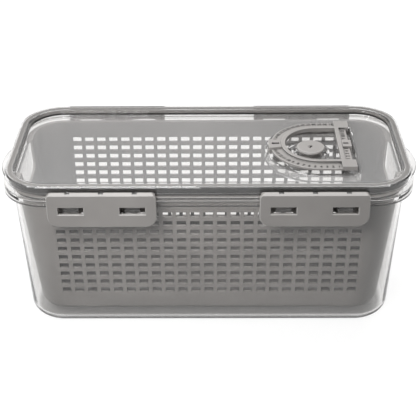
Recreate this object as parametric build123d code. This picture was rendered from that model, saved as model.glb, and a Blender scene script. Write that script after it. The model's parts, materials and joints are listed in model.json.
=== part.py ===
from build123d import *
from math import cos, degrees, radians, sin, tan
import os

# Produce keeper: a clear container with a grey colander basket and a latched, vented lid.
# Sizes are millimetres. X runs along the keeper, -Y is its front and Z is up.
# The origin is the centre of the flat foot, on the surface that the keeper stands on.

# Rim outline, shared by lid, seal and container
rim_half_x = 150.0
rim_half_y = 66.0
rim_corner = 32.0
skirt_wall = 1.7
seal_width = 3.8
plug_wall = 1.5
rim_break = 1.1

# Heights, from the sealing edge's top down and up
seat_z = 122.0
lid_height = 6.0
ledge_drop = 8.0
shoulder_drop = 10.7
band_drop = 4.4

# Container
wall = 2.0
floor = 2.5
edge_wall = 2.2
ledge_end = 2.0
ledge_side = 1.1
body_corner = 28.0
draft = 2.0
foot_round = 9.0
band_out_end = 2.0
bead = 1.5
bead_step = 0.8
tab_reach = 7.5
tab_half_width = 27.0
tab_thick = 2.2
tab_round = 0.8

# Basket
basket_wall = 1.8
basket_gap = 1.3
basket_base_z = 10.5
basket_draft_end = 4.7
basket_draft_side = 2.3
basket_round = 6.0
lip_gap = 0.4
lip_thick = 2.0
slot_columns = 23
slot_rows = 10
slot_pitch_x = 9.95
slot_pitch_z = 7.71
slot_width = 7.0
slot_height = 4.2
slot_drop = 13.6
drain_columns = 10
drain_rows = 3
drain_pitch_x = 23.0
drain_pitch_y = 27.0
drain_length = 16.0
drain_width = 5.0
hold_half_width = 26.0
hold_depth = 19.0
hold_slope = 6.0
hold_round = 7.0

# Lid
lid_skin = 1.2
panel_drop = 5.0
panel_thick = 2.0
well_depth = 7.4
well_wall = 1.6
well_gap = 2.2
well_corner = 5.0

# Seal
seal_gap = 0.15

# Latches
latch_center_x = 76.3
latch_half_width = 39.4
latch_drop = 25.5
latch_face = 3.0
latch_wall = 2.2
latch_back = 1.4
latch_rib = 1.8
latch_low_corner = 8.5
latch_top_corner = 4.5
latch_bevel = 25.0
latch_edge_break = 0.5
slot_center = 22.2
catch_length = 18.3
catch_height = 5.5
catch_drop = 12.05
lug_length = 11.0
lug_height = 3.6
lug_drop = 0.5
lug_reach = 3.3
hinge_out = 2.0
hinge_rise = 0.7
rod_radius = 0.9
rod_gap = 0.05
barrel_radius = 1.8
rod_end_gap = 1.2
bore_end_wall = 5.4
web_pitch = 24.0
web_width = 3.0
web_thick = 1.2
web_gap = 0.3
latch_swing = 110.0
clip_mouth = 1.4

# Date dial
dial_x = 84.0
dial_radius = 36.8
dial_rise = 12.2
dial_band_width = 8.3
dial_wall = 3.1
dial_band_drop = 1.6
dial_band_thick = 1.8
bar_start_x = 98.9
bar_strip = 5.6
bar_end_x = 109.8
block_start_y = 26.0
dial_stand_in = 0.8
dial_stand_wall = 1.5
slider_gap = 0.3
slider_top = 1.3
slider_leg = 1.3
slider_foot = 1.6
slider_foot_thick = 0.9
day_slider_half = 6.2
month_slider_half = 5.0
day_window = (5.9, 2.9)
month_window = (4.2, 2.2)

# Vent
vent_x = 78.3
vent_rise = 9.4
vent_radius = 10.8
vent_cap = 2.0
vent_break = 0.8
vent_dimple = 2.0
vent_dimple_deep = 0.6
vent_stem = 4.2
vent_stem_gap = 0.3
vent_shoulder = 5.4
vent_lift = 3.5
vent_seal_radius = 8.6
vent_seal_thick = 2.0
retainer_radius = 7.0
retainer_thick = 1.8
stem_tail = 0.8
collar_radius = 14.6
collar_wall = 1.5
collar_rise = 5.8
step_radius = 19.0
step_height = 1.8

# Lines worked out from the sizes above
lid_top_z = seat_z + lid_height
ledge_z = seat_z - ledge_drop
shoulder_z = seat_z - shoulder_drop
band_top_z = seat_z - band_drop
slot_top_z = ledge_z - slot_drop
hold_floor_z = ledge_z - hold_depth
panel_top_z = lid_top_z - panel_drop
well_floor_z = panel_top_z - well_depth
hinge_z = seat_z + hinge_rise
dial_top_z = well_floor_z + dial_rise
vent_top_z = well_floor_z + vent_rise
collar_top_z = well_floor_z + collar_rise
channel_in = skirt_wall + seal_width
recess_in = channel_in + plug_wall
edge_in = skirt_wall + (seal_width - edge_wall) / 2
edge_inside = edge_in + edge_wall
body_half_x = rim_half_x - edge_inside - ledge_end + wall
body_half_y = rim_half_y - edge_inside - ledge_side + wall
band_half_x = rim_half_x + band_out_end
basket_half_x = body_half_x - wall - basket_gap
basket_half_y = body_half_y - wall - basket_gap
basket_corner = body_corner - wall - basket_gap
channel_top_z = lid_top_z - lid_skin
hinge_y = rim_half_y + hinge_out
catch_z = hinge_z - catch_drop
lug_low_z = catch_z - catch_height / 2 + lug_drop
well_radius = dial_radius + well_gap
well_end_x = bar_end_x + well_gap
band_top = dial_top_z - dial_band_drop
band_low = band_top - dial_band_thick
dial_inner = dial_radius - dial_band_width
dial_hole = dial_inner - dial_wall
strip_start_x = bar_start_x + dial_wall
strip_end_x = strip_start_x + bar_strip
seal_top_z = well_floor_z + vent_seal_thick
retainer_top_z = well_floor_z - well_wall - vent_lift - vent_stem_gap


def block(half_x, half_y, corner, z_low, z_high):
    """Upright block with a rounded-rectangle outline."""
    outline = RectangleRounded(2 * half_x, 2 * half_y, corner)
    return Pos(0, 0, z_low) * extrude(outline, z_high - z_low)


def rim_block(set_in, z_low, z_high):
    """Upright block inside the rim outline, set in by a distance."""
    return block(rim_half_x - set_in, rim_half_y - set_in, rim_corner - set_in, z_low, z_high)


def tub(half_x, half_y, corner, draft_end, draft_side, z_low, z_high, foot):
    """Tapered block with rounded uprights and a rounded foot, whose sizes are those at the ledge's height."""
    grow = z_high - ledge_z
    shrink = ledge_z - z_low
    top_x = half_x + grow * tan(radians(draft_end))
    top_y = half_y + grow * tan(radians(draft_side))
    step_x = (grow + shrink) * tan(radians(draft_end))
    step_y = (grow + shrink) * tan(radians(draft_side))
    frustum = Wedge(2 * top_x, grow + shrink, 2 * top_y, step_x, step_y, 2 * top_x - step_x, 2 * top_y - step_y)
    frustum = Pos(0, 0, (z_low + z_high) / 2) * Rot(-90, 0, 0) * frustum
    uprights = frustum.edges().filter_by(lambda edge: abs(edge.tangent_at(0.5).Z) > 0.5)
    solid = fillet(uprights, corner)
    return fillet(solid.faces().sort_by(Axis.Z)[0].edges(), foot)


def dee(radius, end_x, corner=0.0):
    """D outline: a half circle about the dial's centre, closed by a straight side at end_x."""
    outline = make_face(
        [
            Line((dial_x, radius), (end_x, radius)),
            Line((end_x, radius), (end_x, -radius)),
            Line((end_x, -radius), (dial_x, -radius)),
            ThreePointArc((dial_x, -radius), (dial_x - radius, 0), (dial_x, radius)),
        ]
    )
    if corner:
        outline = fillet(outline.vertices().group_by(Axis.X)[-1], corner)
    return outline


def dee_block(radius, end_x, z_low, z_high, corner=0.0):
    """Upright block on the D outline."""
    return Pos(0, 0, z_low) * extrude(dee(radius, end_x, corner), z_high - z_low)


def span_box(x_low, x_high, y_low, y_high, z_low, z_high):
    """Box between two corners."""
    size = (x_high - x_low, y_high - y_low, z_high - z_low)
    middle = ((x_low + x_high) / 2, (y_low + y_high) / 2, (z_low + z_high) / 2)
    return Pos(*middle) * Box(*size)


def disc(radius, z_low, z_high, x=vent_x):
    """Upright cylinder on the vent's centre line."""
    return Pos(x, 0, (z_low + z_high) / 2) * Cylinder(radius, z_high - z_low)


def make_container():
    """Clear tub with a sealing edge, a beaded band, latch lugs and end tabs."""
    outside = tub(body_half_x, body_half_y, body_corner, draft, draft, 0, band_top_z, foot_round)
    inside = tub(
        body_half_x - wall, body_half_y - wall, body_corner - wall, draft, draft, floor, seat_z + 1, foot_round - wall
    )
    band_corner = rim_corner + band_out_end / 2
    band = block(band_half_x - bead_step, rim_half_y - bead_step, band_corner, shoulder_z, band_top_z)
    for bead_low in (shoulder_z, band_top_z - bead):
        band += block(band_half_x, rim_half_y, band_corner, bead_low, bead_low + bead)
    edge = rim_block(edge_in, shoulder_z, seat_z)
    lugs = [
        span_box(
            x - lug_length / 2,
            x + lug_length / 2,
            min(side * (body_half_y - wall / 2), side * (rim_half_y + lug_reach)),
            max(side * (body_half_y - wall / 2), side * (rim_half_y + lug_reach)),
            lug_low_z,
            lug_low_z + lug_height,
        )
        for side in (-1, 1)
        for latch in (-latch_center_x, latch_center_x)
        for x in (latch - slot_center, latch + slot_center)
    ]
    container = outside + band + edge + lugs + make_tabs()
    container -= inside
    container -= rim_block(edge_inside, ledge_z, seat_z + 1)
    return container


def make_tabs():
    """Finger tabs on the two ends, each a slice of a disc that reaches out of the band."""
    tab_radius = (tab_half_width**2 + tab_reach**2) / (2 * tab_reach)
    root_x = band_half_x - bead_step
    slices = []
    for side in (-1, 1):
        middle_x = side * (band_half_x + tab_reach - tab_radius)
        round_plate = Pos(middle_x, 0, shoulder_z + tab_thick / 2) * Cylinder(tab_radius, tab_thick)
        reach_x = band_half_x + tab_reach
        keep = Pos(side * (root_x + reach_x) / 2, 0, shoulder_z) * Box(
            reach_x - root_x, 4 * tab_half_width, 3 * tab_thick
        )
        tab = round_plate & keep
        rim_edges = tab.edges().filter_by(GeomType.CIRCLE)
        slices.append(fillet(rim_edges, tab_round))
    return slices


def make_basket():
    """Grey colander: tapered walls with rows of slots, a drained floor, hand-holds and a hanging lip."""
    lip_top_z = ledge_z + lip_thick
    outside = tub(
        basket_half_x, basket_half_y, basket_corner, basket_draft_end, basket_draft_side,
        basket_base_z, ledge_z + lip_thick / 2, basket_round,
    )
    inside = tub(
        basket_half_x - basket_wall, basket_half_y - basket_wall, basket_corner - basket_wall,
        basket_draft_end, basket_draft_side, basket_base_z + basket_wall, lip_top_z + 1, basket_round - basket_wall,
    )
    basket = outside + rim_block(edge_inside + lip_gap, ledge_z, lip_top_z) - inside
    basket -= make_hand_holds()
    basket -= make_slots()
    basket -= make_drains()
    return basket


def make_slots():
    """Cutters for the slots, each through the front wall and the back wall."""
    grid_middle_z = slot_top_z - (slot_rows - 1) * slot_pitch_z / 2
    through = 2 * rim_half_y
    places = GridLocations(slot_pitch_x, slot_pitch_z, slot_columns, slot_rows)
    return [
        Pos(place.position.X, 0, grid_middle_z + place.position.Y) * Box(slot_width, through, slot_height)
        for place in places
    ]


def make_drains():
    """Cutters for the drain slots in the basket's floor."""
    places = GridLocations(drain_pitch_x, drain_pitch_y, drain_columns, drain_rows)
    middle_z = basket_base_z + basket_wall / 2
    return [
        Pos(place.position.X, place.position.Y, middle_z) * Box(drain_length, drain_width, 2 * basket_wall)
        for place in places
    ]


def make_hand_holds():
    """Cutter for the hand-hold notches, through both ends of the basket."""
    top_z = ledge_z + lip_thick + 1
    low_half = hold_half_width - hold_slope
    outline = Polyline(
        (-hold_half_width, top_z), (-low_half, hold_floor_z), (low_half, hold_floor_z), (hold_half_width, top_z),
        close=True,
    )
    face = make_face(outline)
    face = fillet(face.vertices().group_by(Axis.Y)[0], hold_round)
    return extrude(Plane.YZ * face, rim_half_x, both=True)


def make_lid():
    """Clear cover with a channelled rim, a sunk panel, the dial's well and the latch rods."""
    rim = rim_block(0, seat_z, lid_top_z)
    rim = chamfer(rim.faces().sort_by(Axis.Z)[-1].edges(), rim_break)
    channel = rim_block(skirt_wall, seat_z, channel_top_z) - rim_block(channel_in, seat_z, channel_top_z)
    panel_low_z = panel_top_z - panel_thick
    lid = rim - channel + rim_block(channel_in, panel_low_z, panel_top_z)
    lid -= rim_block(recess_in, panel_top_z, lid_top_z + 1)
    rim_face = lid.faces().sort_by(Axis.Z)[-1]
    lid = chamfer(rim_face.inner_wires()[0].edges(), rim_break)
    well_low_z = well_floor_z - well_wall
    well_corner_out = well_corner + well_wall
    lid += dee_block(well_radius + well_wall, well_end_x + well_wall, well_low_z, panel_top_z, well_corner_out)
    lid -= dee_block(well_radius, well_end_x, well_floor_z, lid_top_z, well_corner)
    lid += disc(collar_radius, well_floor_z, collar_top_z) - disc(collar_radius - collar_wall, well_floor_z, lid_top_z)
    lid += disc(step_radius, well_floor_z, well_floor_z + step_height) - disc(collar_radius, well_floor_z, lid_top_z)
    lid -= disc(vent_stem + vent_stem_gap, well_low_z, lid_top_z)
    return lid + make_dial_stand() + make_rods()


def make_dial_stand():
    """D-shaped wall on the well's floor that the dial stands on."""
    stand_radius = dial_inner - dial_stand_in
    stand_end_x = strip_start_x - dial_stand_in
    stand = dee_block(stand_radius, stand_end_x, well_floor_z, band_low)
    return stand - dee_block(
        stand_radius - dial_stand_wall, stand_end_x - dial_stand_wall, well_floor_z, band_low
    )


def make_rods():
    """Rods that the latches clip on, each carried by three webs from the lid's skirt."""
    rod_half = latch_half_width - bore_end_wall - rod_end_gap
    parts = []
    for side in (-1, 1):
        for latch in (-latch_center_x, latch_center_x):
            rod = Pos(latch, side * hinge_y, hinge_z) * Rot(0, 90, 0) * Cylinder(rod_radius, 2 * rod_half)
            parts.append(rod)
            for web in (-web_pitch, 0, web_pitch):
                root_y = rim_half_y - skirt_wall / 2
                middle_y = side * (root_y + hinge_y) / 2
                parts.append(
                    Pos(latch + web, middle_y, hinge_z) * Box(web_width, hinge_y - root_y, web_thick)
                )
    return parts


def make_lid_seal():
    """Silicone ring that fills the lid's channel and rests on the container's sealing edge."""
    outer = skirt_wall + seal_gap
    inner = channel_in - seal_gap
    return rim_block(outer, seat_z, channel_top_z) - rim_block(inner, seat_z, channel_top_z)


def make_latch():
    """Latch about its own hinge line: X along the hinge, Y outwards, with a ribbed hollow back."""
    bevel = radians(latch_bevel)
    face = latch_plate_face()
    latch = Plane.XZ * extrude(face, -latch_face - latch_back)
    latch = Pos(0, -latch_back, 0) * latch
    front_edges = latch.faces().sort_by(Axis.Y)[-1].edges()
    latch = chamfer(front_edges, latch_edge_break)
    pocket = Plane.XZ * extrude(latch_pocket_face(), -latch_face + latch_wall - latch_back)
    pocket = Pos(0, -latch_back, 0) * pocket
    ribs = [
        Pos(x, -latch_back / 2 + (latch_face - latch_wall) / 2, -latch_drop / 2)
        * Box(latch_rib / 2, latch_face - latch_wall + latch_back, latch_drop - latch_rib)
        for x in (-slot_center / 2, 0, slot_center / 2)
    ]
    latch = latch - pocket + ribs
    reach = 2 * latch_face
    above = Rot(-latch_bevel, 0, 0) * Pos(0, 0, barrel_radius + reach) * Box(
        3 * latch_half_width, 8 * reach, 2 * reach
    )
    latch -= above
    latch -= span_box(-2 * latch_half_width, 2 * latch_half_width, -reach, 0, -barrel_radius, reach)
    barrel = Rot(0, 90, 0) * Cylinder(barrel_radius, 2 * (latch_half_width - latch_rib / 2))
    latch += barrel
    latch &= Plane.XZ * extrude(face, 4 * latch_face, both=True)
    bore_half = latch_half_width - bore_end_wall
    latch -= Rot(0, 90, 0) * Cylinder(rod_radius + rod_gap, 2 * bore_half)
    latch -= span_box(-bore_half, bore_half, -reach, 0, -clip_mouth / 2, clip_mouth / 2)
    for x in (-slot_center, slot_center):
        latch -= Pos(x, 0, -catch_drop) * Box(catch_length, 4 * latch_face, catch_height)
    for web in (-web_pitch, 0, web_pitch):
        latch -= Pos(web, 0, 0) * web_sweep()
    return latch


def latch_plate_face():
    """Outline of the latch seen from the front, drawn in X and Z."""
    top_z = barrel_radius
    low_z = -latch_drop
    plate = Pos(0, (top_z + low_z) / 2) * Rectangle(2 * latch_half_width, top_z - low_z)
    plate = fillet(plate.vertices().group_by(Axis.Y)[0], latch_low_corner)
    return fillet(plate.vertices().group_by(Axis.Y)[-1], latch_top_corner)


def latch_pocket_face():
    """Outline of the hollow in the latch's back."""
    top_z = -barrel_radius - latch_rib / 2
    low_z = -latch_drop + latch_rib
    half = latch_half_width - latch_rib
    pocket = Pos(0, (top_z + low_z) / 2) * Rectangle(2 * half, top_z - low_z)
    return fillet(pocket.vertices().group_by(Axis.Y)[0], latch_low_corner - latch_rib)


def web_sweep():
    """Space that a web of the lid sweeps in the latch as it swings open."""
    reach = 1.3 * hinge_out
    half = web_thick / 2 + web_gap
    low_angle = radians(180 - latch_swing)
    outline = Polyline(
        (half * sin(low_angle), -half * cos(low_angle)),
        (reach * cos(low_angle) + half * sin(low_angle), reach * sin(low_angle) - half * cos(low_angle)),
        (0, 2 * reach),
        (-reach, reach),
        (-reach, -half),
        (0, -half),
        close=True,
    )
    return extrude(Plane.YZ * make_face(outline), web_width / 2 + web_gap, both=True)


def place_latch(latch, side, center_x):
    """Latch moved to its rod: side -1 is the front and 1 the back."""
    turn = Rot(0, 0, 0 if side > 0 else 180)
    return Pos(center_x, side * hinge_y, hinge_z) * turn * latch


def make_date_ring():
    """Grey dial: a D-shaped frame, a day band round it, a month strip and two end blocks."""
    wall_block = dee_block(dial_inner, strip_start_x, band_low, dial_top_z)
    wall_hole = dee_block(dial_hole, bar_start_x, band_low, dial_top_z)
    day_band = dee_block(dial_radius, bar_start_x, band_low, band_top)
    strip = span_box(strip_start_x, strip_end_x, -block_start_y, block_start_y, band_low, band_top)
    ring = wall_block + day_band + strip
    for low_y in (-dial_radius, block_start_y):
        ring += span_box(bar_start_x, bar_end_x, low_y, low_y + dial_radius - block_start_y, band_low, dial_top_z)
    return ring - wall_hole


def slider_profile(track_in, track_out):
    """Section of a slider over a band: top plate, outer leg and a foot hooked under the band."""
    top_low = band_top + slider_gap
    leg_in = track_out + slider_gap
    foot_top = band_low - slider_gap
    foot_low = foot_top - slider_foot_thick
    section = Polyline(
        (track_in + slider_gap, top_low),
        (track_in + slider_gap, top_low + slider_top),
        (leg_in + slider_leg, top_low + slider_top),
        (leg_in + slider_leg, foot_low),
        (leg_in - slider_foot, foot_low),
        (leg_in - slider_foot, foot_top),
        (leg_in, foot_top),
        (leg_in, top_low),
        close=True,
    )
    return make_face(section)


def make_day_slider():
    """Saddle that slides round the day band, at the middle of the arc."""
    section = Plane.XZ * slider_profile(dial_inner, dial_radius)
    half_turn = degrees(day_slider_half / (dial_radius - dial_band_width / 2))
    saddle = Rot(0, 0, 180 - half_turn) * revolve(section, Axis.Z, revolution_arc=2 * half_turn)
    window_x = -(dial_radius - dial_band_width / 2)
    saddle -= Pos(window_x, 0, band_top + slider_top) * Box(day_window[0], day_window[1], 3 * slider_top)
    return Pos(dial_x, 0, 0) * saddle


def make_month_slider():
    """Saddle that slides along the month strip, at its middle."""
    section = Plane.XZ * slider_profile(strip_start_x, strip_end_x)
    saddle = extrude(section, month_slider_half, both=True)
    window_x = (strip_start_x + strip_end_x) / 2 + slider_gap
    saddle -= Pos(window_x, 0, band_top + slider_top) * Box(month_window[0], month_window[1], 3 * slider_top)
    return saddle


def make_vent_button():
    """Round cap with a dimple, on a shouldered stem that goes through the well's floor."""
    cap_low = vent_top_z - vent_cap
    cap = disc(vent_radius, cap_low, vent_top_z)
    cap = chamfer(cap.faces().sort_by(Axis.Z)[-1].edges(), vent_break)
    cap -= disc(vent_dimple, vent_top_z - vent_dimple_deep, vent_top_z + 1)
    shoulder = disc(vent_shoulder, seal_top_z, cap_low)
    stem = disc(vent_stem, retainer_top_z - retainer_thick - stem_tail, seal_top_z)
    return cap + shoulder + stem


def make_vent_seal():
    """Silicone ring round the stem, pressed on the well's floor when the vent is shut."""
    return disc(vent_seal_radius, well_floor_z, seal_top_z) - disc(vent_stem, well_floor_z, seal_top_z)


def make_vent_retainer():
    """Ring pushed on the stem below the floor, which stops the button's lift."""
    low_z = retainer_top_z - retainer_thick
    return disc(retainer_radius, low_z, retainer_top_z) - disc(vent_stem, low_z, retainer_top_z)


latch_shape = make_latch()
parts = {
    "container": make_container(),
    "basket": make_basket(),
    "lid": make_lid(),
    "lid_seal": make_lid_seal(),
    "latch_front_left": place_latch(latch_shape, -1, -latch_center_x),
    "latch_front_right": place_latch(latch_shape, -1, latch_center_x),
    "latch_back_left": place_latch(latch_shape, 1, -latch_center_x),
    "latch_back_right": place_latch(latch_shape, 1, latch_center_x),
    "date_ring": make_date_ring(),
    "day_slider": make_day_slider(),
    "month_slider": make_month_slider(),
    "vent_button": make_vent_button(),
    "vent_seal": make_vent_seal(),
    "vent_retainer": make_vent_retainer(),
}

os.makedirs("parts", exist_ok=True)
for name, shape in parts.items():
    export_step(shape, f"parts/{name}.step")
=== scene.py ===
import json
import math

import bmesh
import bpy
from mathutils import Matrix, Quaternion, Vector


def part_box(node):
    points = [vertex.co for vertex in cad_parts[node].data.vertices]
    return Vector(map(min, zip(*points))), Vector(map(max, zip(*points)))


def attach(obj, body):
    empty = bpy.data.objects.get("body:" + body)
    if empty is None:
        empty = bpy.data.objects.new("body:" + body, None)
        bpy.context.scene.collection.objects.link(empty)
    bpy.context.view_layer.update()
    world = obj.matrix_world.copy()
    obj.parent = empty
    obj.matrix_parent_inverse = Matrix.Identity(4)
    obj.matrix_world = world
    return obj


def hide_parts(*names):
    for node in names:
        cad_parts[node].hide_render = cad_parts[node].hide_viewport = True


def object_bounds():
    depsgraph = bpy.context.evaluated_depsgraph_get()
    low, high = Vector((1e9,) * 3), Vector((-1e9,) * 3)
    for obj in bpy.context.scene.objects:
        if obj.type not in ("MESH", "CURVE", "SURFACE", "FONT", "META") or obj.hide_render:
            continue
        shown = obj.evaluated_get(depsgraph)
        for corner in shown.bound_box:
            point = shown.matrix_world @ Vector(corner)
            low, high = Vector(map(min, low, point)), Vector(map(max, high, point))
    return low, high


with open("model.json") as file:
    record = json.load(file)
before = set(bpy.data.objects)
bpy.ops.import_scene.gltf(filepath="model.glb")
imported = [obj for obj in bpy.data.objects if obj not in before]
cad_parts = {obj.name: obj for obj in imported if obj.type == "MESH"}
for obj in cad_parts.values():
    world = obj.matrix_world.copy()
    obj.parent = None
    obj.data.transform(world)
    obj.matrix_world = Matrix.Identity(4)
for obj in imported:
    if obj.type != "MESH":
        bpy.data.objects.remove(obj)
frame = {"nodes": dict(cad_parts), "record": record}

# Produce keeper: looks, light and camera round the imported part. Metres, Z up, front towards -Y.

MM = 0.001
CAD_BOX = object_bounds()
BODY_OF_NODE = {
    node: body for body, nodes in frame["record"]["behaviour"]["bodies"].items() for node in nodes
}

# Camera, as the photograph was taken
CAMERA_PLACE = Vector((7.1, -671.2, 485.2)) * MM
CAMERA_TARGET = Vector((0.0, 0.0, 63.9)) * MM
CAMERA_ROLL = math.radians(-0.46)
CAMERA_LENS = 84.86
CAMERA_SENSOR = 36.0
CAMERA_SHIFT = (0.0022, 0.0095)

# Softboxes: name, place and size in metres, power in watts, and whether gloss mirrors them
SOFTBOXES = (
    ("key_softbox", (-0.17, -0.32, 0.42), (0.27, 0.27), 1.80, True),
    ("back_softbox", (0.1, 1.1, 1.2), (1.6, 0.7), 24.0, False),
)

# Dial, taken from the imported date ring
BAND_DROP = 1.6 * MM
BAR_WIDTH = 10.9 * MM
MARK_INSET = 2.6 * MM
STRIP_INSET = 5.0 * MM
STRIP_HALF = 24.0 * MM
RING_LOW, RING_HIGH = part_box("date_ring")
DIAL_RADIUS = (RING_HIGH.y - RING_LOW.y) / 2
DIAL_X = RING_LOW.x + DIAL_RADIUS
BAND_TOP = RING_HIGH.z - BAND_DROP
BAND_START_X = RING_HIGH.x - BAR_WIDTH
STRIP_MIDDLE_X = RING_HIGH.x - STRIP_INSET
MARK_RADIUS = DIAL_RADIUS - MARK_INSET

# Numbers on the dial; the boldness is a share of their height
DAYS = 31
MONTHS = 12
MARK_HEIGHT = 3.6 * MM
MARK_RELIEF = 0.12 * MM
MARK_BOLDNESS = 0.03

# Shapes of edges and slots
SHARP_ANGLE = math.radians(35.0)
CORNER_ANGLE = 1.2
BASKET_WALL = 1.8 * MM
SLOT_ROUND = 1.0 * MM
MOUTH_CHAMFER = 0.5 * MM
WELD_REACH = 0.002 * MM
NEEDLESS_EDGE = 0.001 * MM

# How bright the studio's dome is, and its dark ring in gloss and glass
DOME_LEVEL = 0.45
DARK_RING = 0.15

# Reach over which painted shade darkens a moulding's hollows
HOLLOW_REACH = 150.0 * MM

# Table: half its side, the gap below the part, and its diffuse greys as it lights the part and as it is seen
TABLE_HALF = 6.0
TABLE_GAP = 0.2 * MM
TABLE_GREY = 0.08
TABLE_SHOWN_GREY = 0.22

# Reaches over which painted shadow darkens the table beside the object, seen plainly and through the clear
# plastic
FLOOR_REACH = 1.5 * MM
FLOOR_REACH_BENT = 14.0 * MM
BENT_SHARE = 0.7

# How open the sky over the table is where its painted shadow is darkest and brightest, and its glow there
SKY_SHUT, SKY_OPEN = 0.10, 0.50
GLOW_SHUT, GLOW_OPEN = 0.12, 0.82

# Linear greys
GREY_DARK = (0.270, 0.257, 0.247, 1.0)
GREY_LIGHT = (0.315, 0.300, 0.289, 1.0)
# Lighter greys of the edge material: a painted highlight on rounded and slanted rims
HIGHLIGHT_GREY_LOW = (0.400, 0.386, 0.374, 1.0)
HIGHLIGHT_GREY_HIGH = (0.450, 0.436, 0.424, 1.0)
# Seal greys: its grey where light falls on top, and painted shade near black for its sides
SEAL_LIT_GREY = (0.275, 0.263, 0.254, 1.0)
SEAL_SHADED_GREY = (0.022, 0.021, 0.020, 1.0)
MARK_GREY = (0.020, 0.019, 0.018, 1.0)

# Share of the seal's height, from below, whose inner side keeps the painted shade
SEAL_SHADED_SHARE = 0.45

# Tints of the clear plastics, and of the light that shines through them
TUB_TINT = (0.905, 0.898, 0.890, 1.0)
LID_TINT = (0.960, 0.955, 0.950, 1.0)
THROUGH_TINT = (0.93, 0.925, 0.92, 1.0)

# Clearness of a clear moulding where it lies flat
CLEAR_TOP = 0.93

# Indices of refraction
ACRYLIC_IOR = 1.49
SILICONE_IOR = 1.41

# Scales of the noise that mottles the colour, the gloss and the grain, how far the roughness
# strays from its middle, and the grain's height in metres
FLOW_SCALE = 22.0
GLOSS_SCALE = 60.0
GRAIN_SCALE = 1500.0
GLOSS_SPREAD = 0.06
PLASTIC_GRAIN = 0.000004
SILICONE_GRAIN = 0.00002


# Shader nodes

def grey(level):
    return (level, level, level, 1.0)


def add_node(tree, kind, **settings):
    """New shader node; a setting is an attribute, or an input when its name is the input's."""
    node = tree.nodes.new("ShaderNode" + kind)
    for key, value in settings.items():
        if key in node.inputs:
            node.inputs[key].default_value = value
        else:
            setattr(node, key, value)
    return node


def add_math(tree, operation, first, second):
    """Result of an operation on a socket and a second socket or number."""
    node = add_node(tree, "Math", operation=operation)
    tree.links.new(first, node.inputs[0])
    if isinstance(second, float):
        node.inputs[1].default_value = second
    else:
        tree.links.new(second, node.inputs[1])
    return node.outputs[0]


def add_range(tree, value, low, high, start=0.0, end=1.0):
    """Value of a socket, taken from the range start to end on to the range low to high."""
    spread = add_node(tree, "MapRange")
    spread.inputs["From Min"].default_value = start
    spread.inputs["From Max"].default_value = end
    spread.inputs["To Min"].default_value = low
    spread.inputs["To Max"].default_value = high
    tree.links.new(value, spread.inputs["Value"])
    return spread.outputs["Result"]


def add_ramp(tree, value, stops):
    """Colour of a ramp through stops, each a place and a colour, at the value of a socket."""
    ramp = add_node(tree, "ValToRGB")
    points = ramp.color_ramp.elements
    points[0].position, points[0].color = stops[0]
    points[1].position, points[1].color = stops[-1]
    for place, colour in stops[1:-1]:
        points.new(place).color = colour
    tree.links.new(value, ramp.inputs["Fac"])
    return ramp.outputs["Color"]


def height_of(tree, vector):
    """Z of a vector socket."""
    split = add_node(tree, "SeparateXYZ")
    tree.links.new(vector, split.inputs["Vector"])
    return split.outputs["Z"]


def add_noise(tree, scale, detail=2.0):
    """Noise of a given scale, in object space, so that it stays on the surface."""
    place = add_node(tree, "TexCoord")
    noise = add_node(tree, "TexNoise", Scale=scale, Detail=detail)
    tree.links.new(place.outputs["Object"], noise.inputs["Vector"])
    return noise.outputs["Fac"]


# Materials

def new_material(name):
    material = bpy.data.materials.new(name)
    material.use_nodes = True
    return material, material.node_tree, material.node_tree.nodes["Principled BSDF"]


def drive_colour(tree, shader, scale, low, high):
    """Mottles the base colour between two greys, and darkens it with painted shade in the piece's own
    hollows.
    """
    mottled = add_ramp(tree, add_noise(tree, scale, 3.0), ((0.35, low), (0.65, high)))
    # Ambient occlusion darkens the colour in hollows: painted shade
    hollow = add_node(tree, "AmbientOcclusion", Distance=HOLLOW_REACH, samples=8, only_local=True)
    painted_shade = add_ramp(tree, hollow.outputs["AO"], ((0.30, grey(0.04)), (0.55, grey(0.42)), (0.80, grey(1.0))))
    shaded_colour = add_node(tree, "Mix", data_type="RGBA", blend_type="MULTIPLY")
    shaded_colour.inputs[0].default_value = 1.0
    tree.links.new(mottled, shaded_colour.inputs[6])
    tree.links.new(painted_shade, shaded_colour.inputs[7])
    tree.links.new(shaded_colour.outputs[2], shader.inputs["Base Color"])


def drive_roughness(tree, shader, scale, low, high):
    """Makes the gloss uneven, as on a handled moulding."""
    tree.links.new(add_range(tree, add_noise(tree, scale, 4.0), low, high), shader.inputs["Roughness"])


def drive_grain(tree, shader, scale, height, strength=1.0):
    """Fine relief of a moulded surface."""
    bump = add_node(tree, "Bump", Strength=strength, Distance=height)
    tree.links.new(add_noise(tree, scale, 2.0), bump.inputs["Height"])
    tree.links.new(bump.outputs["Normal"], shader.inputs["Normal"])


def make_grey_plastic(name, low=GREY_DARK, high=GREY_LIGHT, rough=0.42):
    """Satin grey moulding with faint flow mottling, painted shade in its hollows and a fine spark-eroded
    grain.
    """
    material, tree, shader = new_material(name)
    shader.inputs["IOR"].default_value = ACRYLIC_IOR
    drive_colour(tree, shader, FLOW_SCALE, low, high)
    drive_roughness(tree, shader, GLOSS_SCALE, rough - GLOSS_SPREAD, rough + GLOSS_SPREAD)
    drive_grain(tree, shader, GRAIN_SCALE, PLASTIC_GRAIN)
    return material


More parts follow.
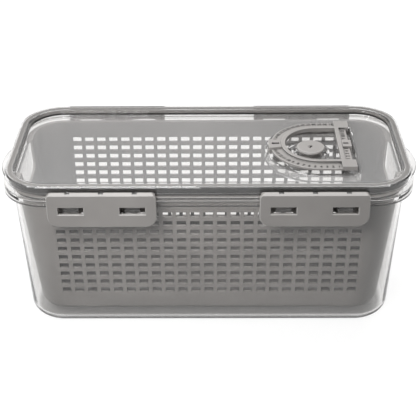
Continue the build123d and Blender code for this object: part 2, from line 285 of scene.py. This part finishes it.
def make_silicone():
    """Grey silicone, nearly dull, with painted light and shade: grey on top and on the upper inner side,
    painted shade near black on the sides that face the walls.
    """
    material, tree, shader = new_material("grey_silicone")
    shader.inputs["IOR"].default_value = SILICONE_IOR
    skin = add_node(tree, "NewGeometry")
    place = add_node(tree, "TexCoord")
    outward = add_node(tree, "VectorMath", operation="DOT_PRODUCT")
    tree.links.new(place.outputs["Object"], outward.inputs[0])
    tree.links.new(skin.outputs["Normal"], outward.inputs[1])
    inner = add_math(tree, "LESS_THAN", outward.outputs["Value"], 0.0)
    upper = add_math(tree, "GREATER_THAN", height_of(tree, place.outputs["Generated"]), SEAL_SHADED_SHARE)
    lit_inner_side = add_math(tree, "MULTIPLY", inner, upper)
    # Faces turned up and the upper inner side get the lit grey, the rest painted shade
    painted_light = add_math(tree, "MAXIMUM", height_of(tree, skin.outputs["Normal"]), lit_inner_side)
    colour = add_ramp(tree, painted_light, ((0.45, SEAL_SHADED_GREY), (0.85, SEAL_LIT_GREY)))
    tree.links.new(colour, shader.inputs["Base Color"])
    drive_roughness(tree, shader, scale=90.0, low=0.5, high=0.68)
    drive_grain(tree, shader, GRAIN_SCALE, SILICONE_GRAIN)
    return material


def make_clear_plastic(name, tint, shine):
    """Clear moulding, hazed where it lies flat; lamps shine through it onto what it holds."""
    material, tree, shader = new_material(name)
    shader.inputs["Base Color"].default_value = tint
    skin = add_node(tree, "NewGeometry")
    haze = add_range(tree, height_of(tree, skin.outputs["Normal"]), 1.0, CLEAR_TOP, start=0.4, end=0.8)
    tree.links.new(haze, shader.inputs["Transmission Weight"])
    shader.inputs["IOR"].default_value = ACRYLIC_IOR
    shader.inputs["Specular IOR Level"].default_value = shine
    drive_roughness(tree, shader, scale=30.0, low=0.003, high=0.012)
    drive_grain(tree, shader, scale=40.0, height=0.00002, strength=0.4)
    rays = add_node(tree, "LightPath")
    through = add_node(tree, "BsdfTransparent", Color=THROUGH_TINT)
    mix = add_node(tree, "MixShader")
    tree.links.new(rays.outputs["Is Shadow Ray"], mix.inputs[0])
    tree.links.new(shader.outputs["BSDF"], mix.inputs[1])
    tree.links.new(through.outputs["BSDF"], mix.inputs[2])
    tree.links.new(mix.outputs["Shader"], tree.nodes["Material Output"].inputs["Surface"])
    return material


GREY = make_grey_plastic("grey_plastic")
# Lighter grey on edge rounds and slanted rims: a painted highlight
HIGHLIGHT_GREY = make_grey_plastic("grey_plastic_painted_highlight", low=HIGHLIGHT_GREY_LOW, high=HIGHLIGHT_GREY_HIGH, rough=0.35)
SILICONE = make_silicone()
CLEAR_TUB = make_clear_plastic("clear_tub_plastic", TUB_TINT, shine=0.15)
CLEAR_LID = make_clear_plastic("clear_lid_plastic", LID_TINT, shine=0.4)
INK = make_grey_plastic("mark_grey", low=MARK_GREY, high=MARK_GREY, rough=0.5)

# Place of the lighter edge material, a painted highlight, among the materials of a grey piece
HIGHLIGHT_INDEX = 1


# Pieces

def link(piece, node, material):
    """Puts a piece in the scene in place of a CAD node, on that node's body."""
    bpy.context.scene.collection.objects.link(piece)
    piece.data.materials.append(material)
    # A grey piece also carries the lighter edge material, a painted highlight
    if material is GREY:
        piece.data.materials.append(HIGHLIGHT_GREY)
    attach(piece, BODY_OF_NODE[node])
    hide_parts(node)
    return piece


def shade(mesh):
    """Smooth faces, with the sharp edges kept crisp."""
    bm = bmesh.new()
    bm.from_mesh(mesh)
    for face in bm.faces:
        face.smooth = True
    for edge in bm.edges:
        edge.smooth = edge.calc_face_angle(0.0) < SHARP_ANGLE
    bm.to_mesh(mesh)
    bm.free()


def welded_copy(node, name):
    """Copy of a CAD node's mesh as one closed skin."""
    mesh = frame["nodes"][node].data.copy()
    mesh.name = name
    mesh.materials.clear()
    for layer in [a.name for a in mesh.attributes if a.name in ("custom_normal", "sharp_face", "sharp_edge")]:
        mesh.attributes.remove(mesh.attributes[layer])
    bm = bmesh.new()
    bm.from_mesh(mesh)
    bmesh.ops.remove_doubles(bm, verts=bm.verts, dist=WELD_REACH)
    bmesh.ops.dissolve_degenerate(bm, edges=bm.edges, dist=NEEDLESS_EDGE)
    bm.to_mesh(mesh)
    bm.free()
    return mesh


def round_slots(mesh):
    """Rounds the corners of the basket's slots, whose edges run straight through the long walls."""
    bm = bmesh.new()
    bm.from_mesh(mesh)
    corners = []
    for edge in bm.edges:
        step = edge.verts[1].co - edge.verts[0].co
        across = abs(step.y) > 0.95 * step.length and step.length < 1.5 * BASKET_WALL
        if across and edge.calc_face_angle(0.0) > CORNER_ANGLE:
            corners.append(edge)
    bmesh.ops.bevel(
        bm, geom=corners, offset=SLOT_ROUND, segments=3, profile=0.5, affect="EDGES", clamp_overlap=True
    )
    bm.to_mesh(mesh)
    bm.free()


def break_latch_edges(mesh):
    """Chamfers the mouths of a latch's slots, and gives all its slanted rims the lighter edge material, a
    painted highlight.
    """
    bm = bmesh.new()
    bm.from_mesh(mesh)
    front = max(abs(vert.co.y) for vert in bm.verts)
    mouths = []
    for edge in bm.edges:
        if min(abs(vert.co.y) for vert in edge.verts) > front - 0.01 * MM and len(edge.link_faces) == 2:
            if min(abs(face.normal.y) for face in edge.link_faces) < 0.1:
                mouths.append(edge)
    bmesh.ops.bevel(bm, geom=mouths, offset=MOUTH_CHAMFER, segments=1, affect="EDGES", clamp_overlap=False)
    # Slanted rims get the lighter edge material: a painted highlight
    for face in bm.faces:
        if 0.3 < abs(face.normal.y) < 0.95:
            face.material_index = HIGHLIGHT_INDEX
    bm.to_mesh(mesh)
    bm.free()


def dressed(node, name, material, edge=0.3, segments=2, reshape=None):
    """Piece with a CAD node's shape whose edges are broken by a small round, given in millimetres."""
    mesh = welded_copy(node, name)
    if reshape:
        reshape(mesh)
    shade(mesh)
    piece = link(bpy.data.objects.new(name, mesh), node, material)
    if edge:
        rounds = piece.modifiers.new("edge_rounds", "BEVEL")
        rounds.width = edge * MM
        rounds.segments = segments
        rounds.limit_method = "ANGLE"
        rounds.angle_limit = SHARP_ANGLE
        rounds.harden_normals = True
        rounds.use_clamp_overlap = material in (CLEAR_TUB, CLEAR_LID)
        # Edge rounds of a grey piece get the lighter edge material: a painted highlight
        if material is GREY:
            rounds.material = HIGHLIGHT_INDEX
    return piece


dressed("container", "clear_container", CLEAR_TUB, edge=0.25)
dressed("lid", "clear_lid", CLEAR_LID, edge=0.2)
dressed("lid_seal", "silicone_seal", SILICONE, edge=0.5, segments=3)
dressed("basket", "colander_basket", GREY, edge=0.0, reshape=round_slots)
for end in ("front_left", "front_right", "back_left", "back_right"):
    dressed("latch_" + end, "side_latch_" + end, GREY, edge=0.15, reshape=break_latch_edges)
dressed("date_ring", "date_dial", GREY)
dressed("day_slider", "day_pointer", GREY, edge=0.25)
dressed("month_slider", "month_pointer", GREY, edge=0.25)
dressed("vent_button", "vent_cap", GREY)
dressed("vent_seal", "vent_washer", SILICONE)
dressed("vent_retainer", "vent_ring", GREY, edge=0.2)


def number_mesh(text):
    """Solid mesh of a number, one unit high and thick and centred on the origin."""
    curve = bpy.data.curves.new("mark", "FONT")
    curve.body = text
    curve.align_x = "CENTER"
    curve.align_y = "CENTER"
    curve.extrude = 0.5
    curve.offset = MARK_BOLDNESS
    holder = bpy.data.objects.new("mark", curve)
    bpy.context.scene.collection.objects.link(holder)
    bpy.context.view_layer.update()
    mesh = bpy.data.meshes.new_from_object(holder.evaluated_get(bpy.context.evaluated_depsgraph_get()))
    bpy.data.objects.remove(holder)
    bpy.data.curves.remove(curve)
    return mesh


def band_place(part):
    """Point and turn of a mark on the curved day band, for a share of the way round it."""
    straight = BAND_START_X - DIAL_X
    arc = math.pi * MARK_RADIUS
    way = part * (2 * straight + arc)
    if way < straight:
        return Vector((BAND_START_X - way, -MARK_RADIUS)), 0.0
    if way > straight + arc:
        return Vector((BAND_START_X - (2 * straight + arc - way), MARK_RADIUS)), math.pi
    angle = -math.pi / 2 - (way - straight) / MARK_RADIUS
    point = Vector((DIAL_X + MARK_RADIUS * math.cos(angle), MARK_RADIUS * math.sin(angle)))
    return point, angle + math.pi / 2


def strip_place(part):
    """Point and turn of a mark on the straight month strip."""
    return Vector((STRIP_MIDDLE_X, (2 * part - 1) * STRIP_HALF)), math.pi / 2


def add_marks(name, count, place):
    """Plain raised numbers from 1 up, spaced evenly along a band of the dial."""
    bm = bmesh.new()
    for number in range(1, count + 1):
        point, turn = place((number - 0.5) / count)
        mesh = number_mesh(str(number))
        lift = Matrix.Translation((point.x, point.y, BAND_TOP))
        scale = Matrix.Diagonal((MARK_HEIGHT, MARK_HEIGHT, 2 * MARK_RELIEF, 1.0))
        mesh.transform(lift @ Matrix.Rotation(turn, 4, "Z") @ scale)
        bm.from_mesh(mesh)
        bpy.data.meshes.remove(mesh)
    marks = bpy.data.meshes.new(name)
    bm.to_mesh(marks)
    bm.free()
    marks.materials.append(INK)
    piece = bpy.data.objects.new(name, marks)
    bpy.context.scene.collection.objects.link(piece)
    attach(piece, BODY_OF_NODE["date_ring"])


add_marks("day_numbers", DAYS, band_place)
add_marks("month_numbers", MONTHS, strip_place)


# Studio

def background_rays(tree):
    """Factor that is 1 for rays that show the background: to the camera, mirrored or through glass."""
    rays = add_node(tree, "LightPath")
    mirrored = add_math(tree, "MAXIMUM", rays.outputs["Is Camera Ray"], rays.outputs["Is Glossy Ray"])
    shown = add_math(tree, "MAXIMUM", mirrored, rays.outputs["Is Transmission Ray"])
    unscattered = add_math(tree, "LESS_THAN", rays.outputs["Diffuse Depth"], 0.5)
    return add_math(tree, "MULTIPLY", shown, unscattered)


def make_floor():
    """White table: nearly even white where it is seen, keeping the object's faint real shadow, with a painted
    shadow beside and under it.
    """
    bm = bmesh.new()
    bmesh.ops.create_grid(bm, x_segments=1, y_segments=1, size=TABLE_HALF)
    mesh = bpy.data.meshes.new("floor")
    bm.to_mesh(mesh)
    bm.free()
    floor = bpy.data.objects.new("floor", mesh)
    bpy.context.scene.collection.objects.link(floor)
    floor.location.z = CAD_BOX[0].z - TABLE_GAP
    material, tree, shader = new_material("floor_white")
    tree.nodes.remove(shader)
    table = add_node(tree, "BsdfDiffuse", Color=grey(TABLE_GREY))
    faint = add_node(tree, "BsdfDiffuse", Color=grey(TABLE_SHOWN_GREY))
    # Ambient occlusion dims the table's glow: a painted shadow beside and under the object
    plain = add_node(tree, "AmbientOcclusion", Distance=FLOOR_REACH, samples=16)
    bent = add_node(tree, "AmbientOcclusion", Distance=FLOOR_REACH_BENT, samples=16)
    dimmed = add_math(tree, "MULTIPLY", bent.outputs["AO"], BENT_SHARE)
    rays = add_node(tree, "LightPath")
    cover = add_node(tree, "Mix", data_type="FLOAT")
    tree.links.new(rays.outputs["Is Camera Ray"], cover.inputs[0])
    tree.links.new(dimmed, cover.inputs[2])
    tree.links.new(plain.outputs["AO"], cover.inputs[3])
    shadowed_glow = add_range(tree, cover.outputs[0], GLOW_SHUT, GLOW_OPEN, start=SKY_SHUT, end=SKY_OPEN)
    glow = add_node(tree, "Emission", Color=grey(1.0))
    seen = add_node(tree, "AddShader")
    mix = add_node(tree, "MixShader")
    tree.links.new(shadowed_glow, glow.inputs["Strength"])
    tree.links.new(faint.outputs[0], seen.inputs[0])
    tree.links.new(glow.outputs[0], seen.inputs[1])
    tree.links.new(background_rays(tree), mix.inputs[0])
    tree.links.new(table.outputs[0], mix.inputs[1])
    tree.links.new(seen.outputs[0], mix.inputs[2])
    tree.links.new(mix.outputs[0], tree.nodes["Material Output"].inputs["Surface"])
    mesh.materials.append(material)


def make_world():
    """Soft white dome; glass and gloss also meet a dark ring in it, which draws the edges of clear plastic.

    Clear plastic lets the dome's light through as shadow rays, so scattered rays that bend through it
    find none.
    """
    world = bpy.data.worlds.new("studio")
    bpy.context.scene.world = world
    world.use_nodes = True
    tree = world.node_tree
    rays = add_node(tree, "LightPath")
    dome = tree.nodes["Background"]
    dome.inputs["Color"].default_value = grey(1.0)
    level = add_range(tree, rays.outputs["Is Transmission Ray"], DOME_LEVEL, 0.0)
    tree.links.new(level, dome.inputs["Strength"])
    direction = add_node(tree, "TexCoord")
    ring = add_ramp(tree, height_of(tree, direction.outputs["Generated"]), (
        (0.0, grey(1.0)),
        (0.18, grey(1.0)),
        (0.26, grey(DARK_RING)),
        (0.40, grey(DARK_RING)),
        (0.50, grey(0.85)),
        (0.85, grey(1.0)),
    ))
    mirrored = add_node(tree, "Background", Strength=1.0)
    white = add_node(tree, "Background", Color=grey(1.0), Strength=1.0)
    tree.links.new(ring, mirrored.inputs["Color"])
    inner = add_node(tree, "MixShader")
    outer = add_node(tree, "MixShader")
    tree.links.new(background_rays(tree), inner.inputs[0])
    tree.links.new(dome.outputs[0], inner.inputs[1])
    tree.links.new(mirrored.outputs[0], inner.inputs[2])
    tree.links.new(rays.outputs["Is Camera Ray"], outer.inputs[0])
    tree.links.new(inner.outputs[0], outer.inputs[1])
    tree.links.new(white.outputs[0], outer.inputs[2])
    tree.links.new(outer.outputs[0], tree.nodes["World Output"].inputs["Surface"])


def add_softbox(name, place, size, power, mirrored):
    """Soft lamp that faces the object; one that isn't mirrored shows in no gloss."""
    lamp = bpy.data.lights.new(name, "AREA")
    lamp.shape = "RECTANGLE"
    lamp.size, lamp.size_y = size
    lamp.energy = power
    box = bpy.data.objects.new(name, lamp)
    box.location = place
    box.rotation_euler = (CAMERA_TARGET - Vector(place)).to_track_quat("-Z", "Y").to_euler()
    box.visible_glossy = mirrored
    box.visible_transmission = False
    bpy.context.scene.collection.objects.link(box)


def make_camera():
    lens = bpy.data.cameras.new("camera")
    lens.lens = CAMERA_LENS
    lens.sensor_width = CAMERA_SENSOR
    lens.shift_x, lens.shift_y = CAMERA_SHIFT
    camera = bpy.data.objects.new("camera", lens)
    camera.location = CAMERA_PLACE
    level = (CAMERA_TARGET - CAMERA_PLACE).to_track_quat("-Z", "Y")
    camera.rotation_euler = (level @ Quaternion((0.0, 0.0, 1.0), CAMERA_ROLL)).to_euler()
    bpy.context.scene.collection.objects.link(camera)
    bpy.context.scene.camera = camera


make_floor()
make_world()
for softbox in SOFTBOXES:
    add_softbox(*softbox)
make_camera()

bpy.context.scene.view_settings.view_transform = "Standard"
